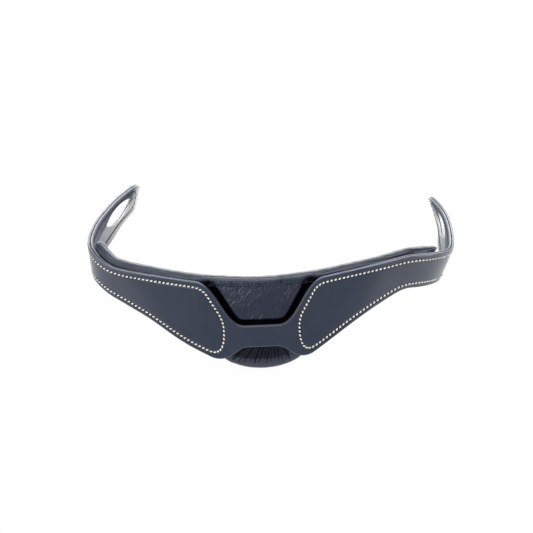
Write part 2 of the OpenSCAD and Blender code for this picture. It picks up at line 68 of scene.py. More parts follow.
BRIDGE_TOP, ARCH_TOP, NOTCH_FOOT, NOTCH_MOUTH = 33.5, 11.5, 27.5, 55.0
ARCH_CROWN, ARCH_FOOT, LOBE_END = 19.5, 35.5, 47.0
WING_TOP, CORNER_TOP, WING_LOW, CORNER_LOW, OUTLINE_ROUND = 79.0, 93.5, 35.5, 60.0, 5.0
NOTCH_ROUND, WING_ROUND = 9.0, 20.0
LEFT_BELLY, BELLY_S, BELLY_REACH = 4.4, 82.0, 45.0     # the left wing's lower edge bulges,
LEFT_LIFT, LIFT_S, LIFT_REACH = 4.8, 172.0, 50.0       # and then runs higher round its corner

FRONT_R, FRONT_S, FRONT_LEAN, LEAN_FROM = 505.0, 150.0, -4.0, 90.0
ARM_W, SLOT_LEN, SLOT_H, SLOT_END = 37.0, 94.0, 20.0, 12.0
ARM_BLEND, TIP_POWER, TIP_LEAST, SLOT_POWER = 16.0, 3.0, 0.001, 0.7

# How each arm lies: (left, right)
CORNER_R, CORNER_TURN, ARM_R = (38.0, 76.0), (66.0, 57.0), (400.0, 448.0)
BEND_LEAN, CORNER_LEAN, TIP_LEAN = (4.5, 10.0), (4.0, 22.0), (-23.0, -25.0)
CORNER_Z, MID_Z, TIP_Z = (95.5, 68.0), (104.0, 81.0), (116.0, 88.0)
FOLD, TIP_FOLD = (34.0, 28.0), (8.0, 8.0)

PAD_S, ROLL_R, ROLL_GAP, ROLL_RISE, PAD_TOP_MID = 198.0, 7.0, 2.0, 5.0, 80.5
PAD_DROP, FOOT_HALF, PAD_INSET, PAD_T = 16.0, 42.0, 7.0, 20.0
PAD_GAP, FOOT_FLAT, PAD_JOIN, PAD_TAPER, PAD_ROUND = 1.6, 0.5, 14.0, 0.3, 22.0
CREASE_SHARE, CREASE_GAP, CREASE_FALL = 0.55, 0.5, 4.5
TUCK_SHARE, TUCK_ANGLE, TUCK_FALL = 0.86, 208.0, 2.4     # the crease, tucked up in the notch
# The panel from its face down to the foot and up its back: (share of thickness, of height)
PANEL = ((0, 0.45), (0.015, 0.7), (0.1, 0.88), (0.25, 0.97), (0.45, 1), (0.75, 0.97),
         (0.95, 0.86), (1, 0.6), (0.975, 0.08))
FOOT_POINT = 4

STITCH_PITCH, STITCH_LEN, THREAD_D, STITCH_INSET, NOTCH_MARGIN = 4.2, 3.3, 1.2, 5.5, 10.5
STITCH_ROUND, LOOP_STEP = 8.0, 8.0

TIP_S = HALF_LENGTH - ARM_W / 2
SLOT_B = HALF_LENGTH - SLOT_END
SLOT_A = SLOT_B - SLOT_LEN
SLOT_MID = (SLOT_A + SLOT_B) / 2
PAD_FACE_D = STRAP_T + PAD_GAP
ROLL_D = STRAP_T + ROLL_GAP + ROLL_R
PAD_JOIN_S = LOBE_END + PAD_JOIN
CREASE_ROUND = 2.0         # half width of the band in which an arm's fold is rounded
TINY = 0.01                # makes a range take its end in
ARM_STEP = 4.0             # between the places tried for the lowest point of an arm
MEAN = [j / 4 for j in range(-4, 5)]    # where a running mean looks, as shares of its reach

# ---- geometry: formulas

def smooth_step(x):
    x = np.clip(x, 0, 1)
    return x * x * (3 - 2 * x)


def mix(a, b, t):
    return a * (1 - t) + b * t


def soft(table, a, r):
    """A table read with its corners rounded over r to each side."""
    xs, ys = zip(*table)
    return sum(np.interp(np.abs(a + r * u), xs, ys) for u in MEAN) / len(MEAN)


def corner_end(k):
    return FRONT_S + math.radians(CORNER_R[k] * CORNER_TURN[k])


def heading(k, a):
    """Direction of the strap in plan, in radians."""
    turned = (a - FRONT_S) / CORNER_R[k]
    beyond = math.radians(CORNER_TURN[k]) + (a - corner_end(k)) / ARM_R[k]
    return np.where(a <= FRONT_S, a / FRONT_R,
                    FRONT_S / FRONT_R + np.where(a <= corner_end(k), turned, beyond))


def arc_step(r, h0, h1):
    return r * np.stack([np.sin(h1) - np.sin(h0), np.cos(h0) - np.cos(h1)], -1)


def plan(k, a):
    """Place of the strap in plan, as if on the right-hand side."""
    h, h1 = heading(k, a), FRONT_S / FRONT_R
    h2 = h1 + math.radians(CORNER_TURN[k])
    return (arc_step(FRONT_R, 0, np.minimum(h, h1)) + arc_step(CORNER_R[k], h1, np.clip(h, h1, h2))
            + arc_step(ARM_R[k], h2, np.maximum(h, h2)))


WING_MID_S = (LOBE_END + FRONT_S) / 2
CORNER_MID_Z = (CORNER_TOP + CORNER_LOW) / 2
TOP_TABLE = ((0, BRIDGE_TOP), (NOTCH_FOOT, BRIDGE_TOP), (NOTCH_MOUTH, WING_TOP),
             (FRONT_S, CORNER_TOP), (2 * FRONT_S, 2 * CORNER_TOP - WING_TOP))
LOW_TABLE = ((0, ARCH_TOP), (ARCH_CROWN, ARCH_TOP), (ARCH_FOOT, 0), (LOBE_END, 0),
             (WING_MID_S, WING_LOW), (FRONT_S, CORNER_LOW),
             (2 * FRONT_S, 2 * CORNER_LOW - WING_LOW))


def arm_mid(k, a):
    table = ((WING_MID_S, CORNER_MID_Z - (CORNER_LOW - WING_LOW) / 2), (FRONT_S, CORNER_MID_Z),
             (corner_end(k), CORNER_Z[k]), ((corner_end(k) + HALF_LENGTH) / 2, MID_Z[k]),
             (HALF_LENGTH, TIP_Z[k]))
    return soft(table, a, ARM_BLEND)


def lean(k, a):
    table = ((0, FRONT_LEAN), (LEAN_FROM, FRONT_LEAN), (FRONT_S, BEND_LEAN[k]),
             (corner_end(k), CORNER_LEAN[k]), (HALF_LENGTH, TIP_LEAN[k]))
    return np.radians(soft(table, a, ARM_BLEND))


def fold(k, a):
    """Angle that the lower half of an arm is folded in by."""
    table = ((FLEX_S + ARM_BLEND, 0), ((corner_end(k) + HALF_LENGTH) / 2, FOLD[k]),
             (HALF_LENGTH, TIP_FOLD[k]))
    return np.radians(soft(table, a, ARM_BLEND))


def arm_half(a):
    u = np.clip((a - TIP_S) / (ARM_W / 2), 0, 1)
    return ARM_W / 2 * np.maximum(1 - u ** TIP_POWER, TIP_LEAST) ** (1 / TIP_POWER)


def arm_share(a):
    """0 on the front, 1 on the arm."""
    return smooth_step((a - FRONT_S + ARM_BLEND) / (2 * ARM_BLEND))


def top_z(k, a):
    return mix(soft(TOP_TABLE, a, NOTCH_ROUND), arm_mid(k, a) + arm_half(a), arm_share(a))


def hump(a, middle, reach):
    return smooth_step(1 - np.abs(np.abs(a) - middle) / reach)


def low_z(k, a):
    edge = np.where(a > (LOBE_END + WING_MID_S) / 2, soft(LOW_TABLE, a, WING_ROUND),
                    soft(LOW_TABLE, a, OUTLINE_ROUND))
    shift = LEFT_LIFT * hump(a, LIFT_S, LIFT_REACH) - LEFT_BELLY * hump(a, BELLY_S, BELLY_REACH)
    return mix(edge, arm_mid(k, a) - arm_half(a), arm_share(a)) + shift * (k == LEFT)


def slot_half(a):
    """Half height of the slot: a long pointed oval."""
    u = (a - SLOT_MID) / (SLOT_LEN / 2)
    return np.where(np.abs(u) < 1, SLOT_H / 2 * np.maximum(1 - u * u, 0) ** SLOT_POWER, 0)


def axes(k, a, tilt):
    """The unit vectors up the strap and into it, where it is tilted outwards by tilt."""
    h, x = heading(k, a), 1 if k == RIGHT else -1
    out = np.stack([x * np.sin(h), -np.cos(h), 0 * h], -1)
    rise = np.array([0, 0, 1.0])
    c, s = np.cos(tilt)[..., None], np.sin(tilt)[..., None]
    return out * s + rise * c, -out * c + rise * s


def raw_at(k, a, z, d):
    """A point of the strap as it is built, before the collar is laid down."""
    a, z, d = np.broadcast_arrays(np.asarray(a, float), z, d)
    p, x = plan(k, a), 1 if k == RIGHT else -1
    mid = (top_z(k, a) + low_z(k, a)) / 2
    base = np.stack([x * p[..., 0], p[..., 1], mid], -1)
    t, f, w = lean(k, a), fold(k, a), CREASE_ROUND

    def flat(height, tilt):
        up, into = axes(k, a, tilt)
        return base + height[..., None] * up + d[..., None] * into

    crease = base + (d / np.cos(f / 2))[..., None] * axes(k, a, t + f / 2)[1]
    u = np.clip((z - mid + w) / (2 * w), 0, 1)[..., None]
    below, above = flat(0 * z - w, t + f), flat(0 * z + w, t)
    bend = (1 - u) ** 2 * below + 2 * u * (1 - u) * crease + u ** 2 * above
    over, under = (z > mid + w)[..., None], (z < mid - w)[..., None]
    return np.where(over, flat(z - mid, t), np.where(under, flat(z - mid, t + f), bend))


def unit(v):
    return v / np.linalg.norm(v, axis=-1, keepdims=True)


# How the collar lies: on the pad's foot and on the lowest point of each arm
foot = raw_at(RIGHT, 0, -PAD_DROP + FOOT_FLAT, PAD_FACE_D + PAD_T * PANEL[FOOT_POINT][0])


def lowest_of_arm(k):
    a = np.arange(FLEX_S, HALF_LENGTH + TINY, ARM_STEP)
    points = np.concatenate([raw_at(k, a, low_z(k, a), d) for d in (0, STRAP_T)])
    slope = (points[:, 2] - foot[2]) / (points[:, 1] - foot[1])
    return points[slope.argmin()]


floor_n = unit(np.cross(lowest_of_arm(RIGHT) - foot, lowest_of_arm(LEFT) - foot))
floor_x = unit(np.cross([0, 1, 0], floor_n))
LAY = np.array([floor_x, np.cross(floor_n, floor_x), floor_n])


def at(k, a, z, d):
    """A point of the strap as it lies, in metres."""
    return (raw_at(k, a, z, d) - foot) @ LAY.T * MM

# ---- materials

COAT_ROUGHNESS, SHEEN_ROUGHNESS = 0.22, 0.45
MOTTLE, FINE_MOTTLE, GLOSS_PATCH = 0.022, 0.0016, 0.009      # sizes of patches, metres
ROUGHER, SMOOTHER = 0.08, 0.06             # how far the gloss's patches go from the mean
WAVE_PERIOD = 0.314        # of a wave texture whose scale is 1, metres
NOISE_LOW, NOISE_HIGH = 0.3, 0.7           # between what most of a noise lies
WHITE = (1, 1, 1)


def fresh_nodes(owner):
    """Clears a material's or a world's nodes, and gives what adds one and what links two."""
    owner.use_nodes = True
    tree = owner.node_tree
    tree.nodes.clear()

    def add(kind, sockets=(), **values):
        node = tree.nodes.new(kind)
        for key, value in values.items():
            setattr(node, key, value)
        for key, value in dict(sockets).items():
            node.inputs[key].default_value = value
        return node

    return add, tree.links.new


def material(name, base, roughness, grain, specular=0.5, coat=0.0, sheen=0.0, variation=0.25,
             pale=None, tint=(0.74, 0.83, 1.0)):
    """A procedural finish: a mottled colour, a broken-up gloss and a fine bump.

    grain is a list of (kind, size in metres, depth in metres), where kind is "noise", "pebble"
    or "weave". pale is a second colour, a painted highlight, that a vertex value mixes in.
    """
    m = bpy.data.materials.new(name)
    add, link = fresh_nodes(m)
    shader = add("ShaderNodeBsdfPrincipled", {
        "Specular IOR Level": specular, "Specular Tint": (*tint, 1), "Coat Weight": coat,
        "Coat Roughness": COAT_ROUGHNESS, "Coat Tint": (*WHITE, 1), "Sheen Weight": sheen,
        "Sheen Roughness": SHEEN_ROUGHNESS, "Sheen Tint": (*tint, 1)})
    link(shader.outputs[0], add("ShaderNodeOutputMaterial").inputs[0])
    place = add("ShaderNodeTexCoord").outputs["Object"]

    def noise(size, detail=4.0, rough=0.55):
        node = add("ShaderNodeTexNoise", {"Scale": 1 / size, "Detail": detail, "Roughness": rough})
        link(place, node.inputs["Vector"])
        return node.outputs["Fac"]

    def spread(value, low, high):
        node = add("ShaderNodeMapRange", {"From Min": NOISE_LOW, "From Max": NOISE_HIGH,
                                          "To Min": low, "To Max": high})
        link(value, node.inputs["Value"])
        return node.outputs["Result"]

    def blend_colours(a, b, factor):
        node = add("ShaderNodeMix", data_type="RGBA")
        for value, index in ((a, 6), (b, 7)):
            if isinstance(value, tuple):
                node.inputs[index].default_value = (*value, 1)
            else:
                link(value, node.inputs[index])
        link(factor, node.inputs[0])
        return node.outputs[2]

    dark = tuple(c * (1 - variation) for c in base)
    light = tuple(c * (1 + variation) for c in base)
    colour = blend_colours(dark, light, spread(noise(MOTTLE), 0, 1))
    colour = blend_colours(colour, light, spread(noise(FINE_MOTTLE, 3), 0, 0.5))
    # painted highlight: a pale colour mixed in as far as a vertex value says
    if pale:
        painted_highlight = add("ShaderNodeAttribute", attribute_name="painted_highlight")
        colour = blend_colours(colour, pale, painted_highlight.outputs["Fac"])
    link(colour, shader.inputs["Base Color"])
    gloss = spread(noise(GLOSS_PATCH), roughness - SMOOTHER, roughness + ROUGHER)
    link(gloss, shader.inputs["Roughness"])

    normal = None
    for kind, size, depth in grain:
        if kind == "noise":
            height = noise(size, 5, 0.6)
        elif kind == "pebble":
            cells = add("ShaderNodeTexVoronoi", feature="SMOOTH_F1")
            cells.inputs["Scale"].default_value = 1 / size
            cells.inputs["Smoothness"].default_value = 0.6
            link(place, cells.inputs["Vector"])
            height = cells.outputs["Distance"]
        else:
            height = None
            for direction in "XYZ":
                wave = add("ShaderNodeTexWave", {"Scale": WAVE_PERIOD / size},
                           bands_direction=direction)
                link(place, wave.inputs["Vector"])
                both = add("ShaderNodeMath", {0: 1.0}, operation="MULTIPLY")
                if height:
                    link(height, both.inputs[0])
                link(wave.outputs["Fac"], both.inputs[1])
                height = both.outputs[0]
        bump = add("ShaderNodeBump", {"Strength": 1.0, "Distance": depth})
        link(height, bump.inputs["Height"])
        if normal:
            link(normal, bump.inputs["Normal"])
        normal = bump.outputs["Normal"]
    link(normal, shader.inputs["Normal"])
    return m


FACE = material("face_leather", (0.0085, 0.0135, 0.029), 0.46,
                [("pebble", 0.0011, 0.00006), ("noise", 0.0035, 0.00014)], coat=1.0, variation=0.10)
BACKING = material("backing_leather", (0.012, 0.018, 0.038), 0.55,
                   [("pebble", 0.0012, 0.00008), ("noise", 0.004, 0.0002)], specular=0.4, sheen=0.1,
                   variation=0.14, pale=(0.74, 0.73, 0.69))
EDGE = material("leather_edge", (0.036, 0.044, 0.068), 0.40,
                [("noise", 0.006, 0.0002)], coat=0.6, variation=0.12, pale=(0.74, 0.73, 0.70))
WEB = material("nylon_web", (0.014, 0.017, 0.026), 0.8, [("weave", 0.0012, 0.0002)],
               specular=0.2, variation=0.2)
THREAD = material("thread", (0.70, 0.68, 0.63), 0.55, [("noise", 0.0005, 0.00008)],
                  specular=0.4, sheen=0.2, variation=0.10, tint=WHITE)
DARK_THREAD = material("dark_thread", (0.012, 0.016, 0.026), 0.6, [("noise", 0.0005, 0.00008)],
                       specular=0.3, variation=0.15)
# painted shade: near-black leather for the shade inside the stitch holes
HOLE_SHADE = material("stitch_hole_shade", (0.002, 0.002, 0.003), 0.9, [("noise", 0.0005, 0.00005)],
                specular=0.1, variation=0.2)
PAD = material("pad_leather", (0.0095, 0.0120, 0.026), 0.34,
               [("pebble", 0.0009, 0.00008), ("noise", 0.0022, 0.00030)], coat=0.35, sheen=0.12,
               variation=0.16)
# darker copies of the pad leather: painted shade in its folds and grooves
SHADED_PAD = material("pad_leather_painted_shade", (0.005, 0.006, 0.012), 0.5,
               [("noise", 0.0022, 0.00022)], specular=0.22, variation=0.16)
DEEP_SHADED_PAD = material("pad_leather_painted_deep_shade", (0.002, 0.0025, 0.004), 0.8,
                [("noise", 0.0022, 0.0002)], specular=0.06, variation=0.16)
FOAM = material("foam", (0.55, 0.52, 0.42), 0.9, [("pebble", 0.0012, 0.0003)], specular=0.2,
                variation=0.12)

# ---- mesh helpers

SHARP_ANGLE = math.radians(38)
WELD = 1e-6


def new_object(name, data):
    item = bpy.data.objects.new(name, data)
    bpy.context.collection.objects.link(item)
    return item


def make_piece(name, points, faces, materials, kinds=None, smooth=SHARP_ANGLE, painted_highlight=None):
    """A closed mesh object from points in metres. kinds gives each face's material."""
    mesh = bpy.data.meshes.new(name)
    mesh.from_pydata([tuple(p) for p in points], [], [tuple(f) for f in faces])
    for m in materials:
        mesh.materials.append(m)
    if kinds is not None:
        mesh.polygons.foreach_set("material_index", np.asarray(kinds, np.int32))
    # the vertex value that mixes in a pale, painted highlight
    if painted_highlight is not None:
        layer = mesh.attributes.new("painted_highlight", "FLOAT", "POINT")
        layer.data.foreach_set("value", np.asarray(painted_highlight, np.float32))
    work = bmesh.new()
    work.from_mesh(mesh)
    bmesh.ops.remove_doubles(work, verts=work.verts, dist=WELD)
    bmesh.ops.dissolve_degenerate(work, edges=work.edges, dist=WELD / 2)
    bmesh.ops.recalc_face_normals(work, faces=work.faces)
    work.to_mesh(mesh)
    work.free()
    piece = new_object(name, mesh)
    mesh.polygons.foreach_set("use_smooth", [True] * len(mesh.polygons))
    if smooth:
        mesh.set_sharp_from_angle(angle=smooth)
    return piece


def solid_faces(rows, columns, keep=lambda i, j: True, base=0):
    """The quads round a tube of closed rings, where keep says so, and the tube's two ends."""
    quads = []
    for i in range(rows - 1):
        for j in range(columns):
            if keep(i, j):
                n = (j + 1) % columns
                quads.append((i * columns + j, (i + 1) * columns + j,
                              (i + 1) * columns + n, i * columns + n))
    ends = [tuple(range(columns)), tuple(range((rows - 1) * columns, rows * columns))]
    return [tuple(base + v for v in face) for face in quads + ends]

# ---- stitching paths

def running(points):
    steps = np.linalg.norm(np.diff(points, axis=0), axis=1)
    return np.concatenate([[0], np.cumsum(steps)])


def wing_loop(k):
    """Round a wing: out of the corner, down beside the notch, round the lobe and back."""
    x = NOTCH_FOOT + NOTCH_MARGIN
    down = np.arange(FLEX_S, NOTCH_MOUTH + LOOP_STEP - TINY, -LOOP_STEP)
    back = np.arange(LOBE_END, FLEX_S + TINY, LOOP_STEP)
    turn = [(NOTCH_MOUTH + STITCH_INSET / 2, WING_TOP - STITCH_INSET),
            (x, BRIDGE_TOP + STITCH_INSET), (x, ARCH_TOP + STITCH_INSET),
            (x + STITCH_INSET, STITCH_INSET)]
    return np.concatenate([np.stack([down, top_z(k, down) - STITCH_INSET], 1), turn,
                           np.stack([back, low_z(k, back) + STITCH_INSET], 1)])


def arm_loop(k):
    """Along an arm's top edge, round its tip and back."""
    r, b = ARM_W / 2 - STITCH_INSET, TIP_S - LOOP_STEP / 2
    out = np.arange(FLEX_S, b + TINY, LOOP_STEP)
    back = np.arange(b, FLEX_S - TINY, -LOOP_STEP)
    angle = np.radians(np.arange(90, -91, -20))
    tip = TIP_S + r * np.cos(angle)
    return np.concatenate([np.stack([out, top_z(k, out) - STITCH_INSET], 1),
                           np.stack([tip, arm_mid(k, tip) + r * np.sin(angle)], 1),
                           np.stack([back, low_z(k, back) + STITCH_INSET], 1)])


def walk(points, t):
    """The places at running lengths t of a path with rounded corners."""
    length = running(points)
    return np.stack([sum(np.interp(t + STITCH_ROUND * u, length, points[:, c]) for u in MEAN)
                     / len(MEAN) for c in (0, 1)], 1)


def stitch_run(points, pitch):
    """The middles of the stitches, as running lengths."""
    total = running(points)[-1]
    count = int(total // pitch)
    return (np.arange(count) + 0.5) * total / count


def path_distance(points, a, z):
    """How far each place (a, z) is from a stitching path."""
    total = running(points)[-1]
    line = walk(points, np.arange(0, total + 0.5, 1.0))
    start, step = line[:-1], np.diff(line, axis=0)
    place = np.stack([a.ravel(), z.ravel()], 1)
    nearest = np.full(len(place), 1e9)
    for p, d in zip(start, step):
        near = np.clip(((place - p) @ d) / (d @ d + 1e-9), 0, 1)
        nearest = np.minimum(nearest, np.linalg.norm(place - p - near[:, None] * d, axis=1))
    return nearest.reshape(a.shape)


LOOPS = {k: (wing_loop(k), arm_loop(k)) for _, k in SIDES}

# ---- the strap's layers

WEB_D = FACE_T + LAYER_GAP
BACKING_D = WEB_D + WEB_T + LAYER_GAP
COLUMNS = 30               # across half of the strap's height
COLUMN_POWER = 1.8         # more puts more of them near the edge
ARC = np.radians(np.linspace(0, 90, 4))
GROOVE_DEPTH, GROOVE_WIDTH = 0.4, 1.1      # along the stitching
LEAST_HEIGHT, SLOT_ROUND = 0.05, 0.8       # of half a layer; of its edge's radius at the slot
# Rings along the strap: (from, to, step), and how far from the tip the last ones lie
RINGS = ((0, 24, 2.0), (24, 62, 1.0), (62, FLEX_S - 20, 2.0), (FLEX_S - 20, FLEX_S + 50, 1.5))
SLOT_RINGS, ARM_RINGS, SLOT_BLEND = 72, 30, (0.4, 0.8, 1)
TIP_RINGS = (7, 5.4, 4, 2.9, 2, 1.3, 0.8, 0.4, 0.15, 0.03, 0)
# Share of the pale colour, a painted highlight: at the tips, on the arms' lower half inside, where
# it turns up to the light, and in the slots
TIP_HIGHLIGHT, TIP_HIGHLIGHT_FROM, TIP_HIGHLIGHT_REACH = 0.95, 24, 26
LOW_HIGHLIGHT, LOW_HIGHLIGHT_GAIN, LOW_HIGHLIGHT_BLEND, INNER_BLEND = 0.10, 0.52, 6, 2
SLOT_HIGHLIGHT = 0.55


def stations(inset):
    """Distances from the centre of the front at which a layer's rings lie."""
    tip = HALF_LENGTH - inset
    slot = SLOT_MID - (SLOT_LEN / 2) * np.cos(np.linspace(0, math.pi, SLOT_RINGS))
    before, after = ([end + way * inset * u for u in SLOT_BLEND] if inset else []
                     for end, way in ((SLOT_A, -1), (SLOT_B, 1)))
    return np.array(sorted(set(np.round(np.concatenate([
        *(np.arange(*r) for r in RINGS), np.linspace(RINGS[-1][1], SLOT_A - inset - 1, ARM_RINGS),
        before, slot, after, np.linspace(SLOT_B + inset, tip - TIP_RINGS[0], 3)[1:-1],
        tip - np.array(TIP_RINGS)]), 5))))


def slot_opening(a, inset):
    """Half height of the slot in a layer that is drawn in by inset."""
    past = np.maximum(np.abs(a - SLOT_MID) - SLOT_LEN / 2, 0)
    ends = inset * np.sqrt(np.maximum(1 - (past / max(inset, 1e-9)) ** 2, 0)) if inset else 0 * a
    return np.where(past > 0, ends, slot_half(a) + inset * (np.abs(a - SLOT_MID) < SLOT_LEN / 2))


def band_rings(k, a, way, d0, d1, inset, r0, r1):
    """Rings (z, d) of the part of a layer above its middle line (way 1) or below it (way -1)."""
    middle = np.where(arm_share(a) < 1, (top_z(k, a) + low_z(k, a)) / 2, arm_mid(k, a))
    edge = (top_z(k, a) if way > 0 else low_z(k, a)) - way * inset
    hole = slot_opening(a, inset)
    height = np.maximum((edge - middle) * way - hole, LEAST_HEIGHT)
    rs = np.minimum(min(r0, r1), SLOT_ROUND * hole)[:, None]
    height_, hole_ = height[:, None], hole[:, None]
    r0_, r1_ = (np.minimum(r, height_ - rs - TINY) for r in (r0, r1))
    share = (np.linspace(1, 0, COLUMNS)[1:-1] ** COLUMN_POWER)[None]
    s, c = np.sin(ARC)[None], np.cos(ARC)[None]

    def skin(r, d, share):
        e = height_ - r - (height_ - r - rs) * share
        return e, d + 0 * e

    parts = [(rs * (1 - c), d0 + rs * (1 - s)), skin(r0_, d0, share),
             (height_ - r0_ + r0_ * s, d0 + r0_ * (1 - c)),
             (height_ - r1_ + r1_ * c, d1 - r1_ + r1_ * s), skin(r1_, d1, share[:, ::-1]),
             (rs * (1 - s), d1 - rs * (1 - c))]
    names = ["slot", "outer", "edge", "edge", "inner", "slot"]
    kinds = sum(([n] * p[0].shape[1] for n, p in zip(names, parts)), [])
    e, d = (np.concatenate([np.broadcast_to(p[i], (len(a), p[i].shape[1])) for p in parts], 1)
            for i in (0, 1))
    return middle[:, None] + way * (hole_ + e), d, kinds


def layer(name, k, d0, d1, inset, r0, r1, materials, groove=0):
    """One half of one of the strap's layers, from the centre of the front to the arm's tip.
    groove is -1 where stitching sinks into its outer face and 1 where it does on the inner."""
    a = stations(inset)
    closed = slot_opening(a, inset) == 0
    points, faces, kinds, painted_highlight = [], [], [], []
    for way in (1, -1):
        z, d, names = band_rings(k, a, way, d0, d1, inset, r0, r1)
        a_all = np.broadcast_to(a[:, None], z.shape)
        if groove:
            near = np.minimum(*(path_distance(loop, a_all, z) for loop in LOOPS[k]))
            sunk = GROOVE_DEPTH * np.exp(-(near / GROOVE_WIDTH) ** 2)
            skin = np.array([n == ("outer" if groove < 0 else "inner") for n in names])
            d = d - groove * sunk * skin
        n, base = len(names), sum(len(p) for p in points)
        rows = at(k, a_all, z, d)
        points.append(rows.reshape(-1, 3))
        # painted highlight: pale at the tips, on each arm's lower inner half, which faces up to the
        # light, and on the slots' lower walls
        at_tip = smooth_step((a_all - (HALF_LENGTH - TIP_HIGHLIGHT_FROM)) / TIP_HIGHLIGHT_REACH)
        along = np.clip((a_all - corner_end(k)) / (HALF_LENGTH - corner_end(k)), 0, 1)
        lower = smooth_step((arm_mid(k, a_all) - z + LOW_HIGHLIGHT_BLEND / 2) / LOW_HIGHLIGHT_BLEND)
        inside = smooth_step((d - BACKING_D) / INNER_BLEND)
        wall = np.array([n == "slot" for n in names]) * (slot_opening(a, inset) > 0)[:, None]
        painted_highlight.append(np.maximum.reduce([
            TIP_HIGHLIGHT * at_tip, (LOW_HIGHLIGHT + LOW_HIGHLIGHT_GAIN * along) * (lower * inside) * (along > 0),
            SLOT_HIGHLIGHT * wall * (way < 0)]).ravel())

        def keep(i, j, closed=closed, names=names, n=n):
            wall = names[j] == "slot" and names[(j + 1) % n] == "slot"
            return not (wall and closed[i] and closed[i + 1])

        raw = [part in ("edge", "slot") for part in names]
        *quads, start, end = solid_faces(len(a), n, keep, base)
        faces += [*quads, start, end]
        kinds += [int(raw[(q[0] - base) % n] and raw[(q[3] - base) % n]) for q in quads] + [1, 1]
    return make_piece(name, np.concatenate(points), faces, materials, kinds,
                      painted_highlight=np.concatenate(painted_highlight))


FLEX_REACH = 15.0          # how far to each side of the flex line a bend would reach; flex works it out but bends nothing


def flex(piece, k):
    """The piece already turns from the front into the arm; this bakes its placement into its mesh
    and works out a bend's middle and reach without using them.
    """
    height = (top_z(k, FLEX_S) + low_z(k, FLEX_S)) / 2
    middle = at(k, FLEX_S, height, STRAP_T / 2)
    reach = (at(k, FLEX_S + 1, height, STRAP_T / 2) - middle) * FLEX_REACH
    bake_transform(piece)


WEB_SHOWN = 0.4            # how far inside the leather the webbing's edge is seen
LAYERS = (("face_leather", 0, FACE_T, 0, 1.1, 0.5, (FACE, EDGE), -1),
          ("web", WEB_D, WEB_D + WEB_T, WEB_SHOWN, 0.1, 0.1, (WEB, WEB), 0),
          ("backing_leather", BACKING_D, STRAP_T, 0, 0.5, 1.1, (BACKING, EDGE), 1))
for side, k in SIDES:
    for kind, d0, d1, inset, r0, r1, finishes, groove in LAYERS:
        half = layer(f"{side}_{kind}", k, d0, d1, inset, r0, r1, finishes, groove)
        flex(half, k)
        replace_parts(half, f"{kind}_front", f"{kind}_{side}_arm")
        "nylon_web" if kind == "web" else kind

# ---- threads

STITCH_SIDES = 10
AROUND = np.arange(STITCH_SIDES) * 2 * math.pi / STITCH_SIDES
PLUMP = 0.14               # how much thicker the sewn thread is than its solid, to each side
TWIST, TWIST_PITCH = 0.10, 4.5             # the twist's depth, as a share, and how fast it turns
ARCHED, SUNK, FLATTENED = 0.42, 0.30, 0.85     # how a stitch rises, lies in and is pressed
SLANT = math.radians(16)
STITCH_SMOOTH = math.radians(60)
# A hole: its radius, and its rings' (share of the radius, height)
HOLE_R, HOLE_RINGS = 0.95, ((1, -0.34), (0.95, -0.06), (0.5, -0.03))


def bead(length, radius):
    """One stitch, end to end along x: a twisted thread that dips into its holes."""
    u = np.array([-1, -0.9, -0.68, -0.35, 0, 0.35, 0.68, 0.9, 1])
    swell = np.maximum(1 - np.abs(u) ** 3, 0.02) ** 0.5
    twist = 1 + TWIST * np.cos(2 * AROUND[None] + TWIST_PITCH * u[:, None])
    r = radius * swell[:, None] * twist
    rise = ARCHED * (1 - u ** 2) - SUNK
    return np.stack([np.broadcast_to(u[:, None] * length / 2, r.shape), r * np.cos(AROUND),
                     rise[:, None] + FLATTENED * r * np.sin(AROUND)], -1)


HOLE_SHAPE = np.array([
    np.stack([HOLE_R * s * np.cos(AROUND), HOLE_R * s * np.sin(AROUND), h + 0 * AROUND], 1)
    for s, h in HOLE_RINGS])


def thread(name, k, loop, face, finish, holes, pitch=STITCH_PITCH, length=STITCH_LEN - 0.3):
    """The stitches along a loop, on the strap's outer face (-1) or its inner one (1)."""
    depth = 0 if face < 0 else STRAP_T
    points, faces, kinds = [], [], []

    def put(t, rings, turn, kind):
        """A closed tube of rings, set into the strap at the running length t."""
        p, q = walk(loop, np.array([t - 1.0, t + 1.0]))
        m = (p + q) / 2
        centre = at(k, m[0], m[1], depth)
        run = unit(at(k, q[0], q[1], depth) - at(k, p[0], p[1], depth))
        into = unit(at(k, m[0], m[1], depth + 1) - centre)
        out = unit(face * (into - run * (into @ run)))
        over, c, s = np.cross(out, run), math.cos(turn), math.sin(turn)
        turned = np.array([c * run + s * over, c * over - s * run, out])
        base = sum(len(p) for p in points)
        points.append(centre + rings.reshape(-1, 3) * MM @ turned)
        faces.extend(solid_faces(len(rings), STITCH_SIDES, base=base))
        kinds.extend([kind] * (len(faces) - len(kinds)))

    middles, shape = stitch_run(loop, pitch), bead(length, THREAD_D / 2 + PLUMP)
    for t in middles:
        put(t, shape, SLANT, 0)
    # a dish at each hole between stitches, in the holes finish: near-black painted shade on the
    # outer face
    for t in (middles[:-1] + middles[1:]) / 2:
        put(t, HOLE_SHAPE, 0, 1)
    piece = make_piece(name, np.concatenate(points), faces, (finish, holes), kinds,
                       smooth=STITCH_SMOOTH)
    flex(piece, k)
    return piece


BACK_PITCH, BACK_LEN = 7.0, 2.6
for side, k in SIDES:
    wing, arm = LOOPS[k]
    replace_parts(thread(f"{side}_wing_thread", k, wing, -1, THREAD, HOLE_SHADE), f"{side}_wing_stitches")
    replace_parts(thread(f"{side}_arm_thread", k, arm, -1, THREAD, HOLE_SHADE), f"{side}_arm_stitches")
    thread(f"{side}_arm_back_thread", k, arm, 1, DARK_THREAD, BACKING, BACK_PITCH, BACK_LEN)

# ---- the pad

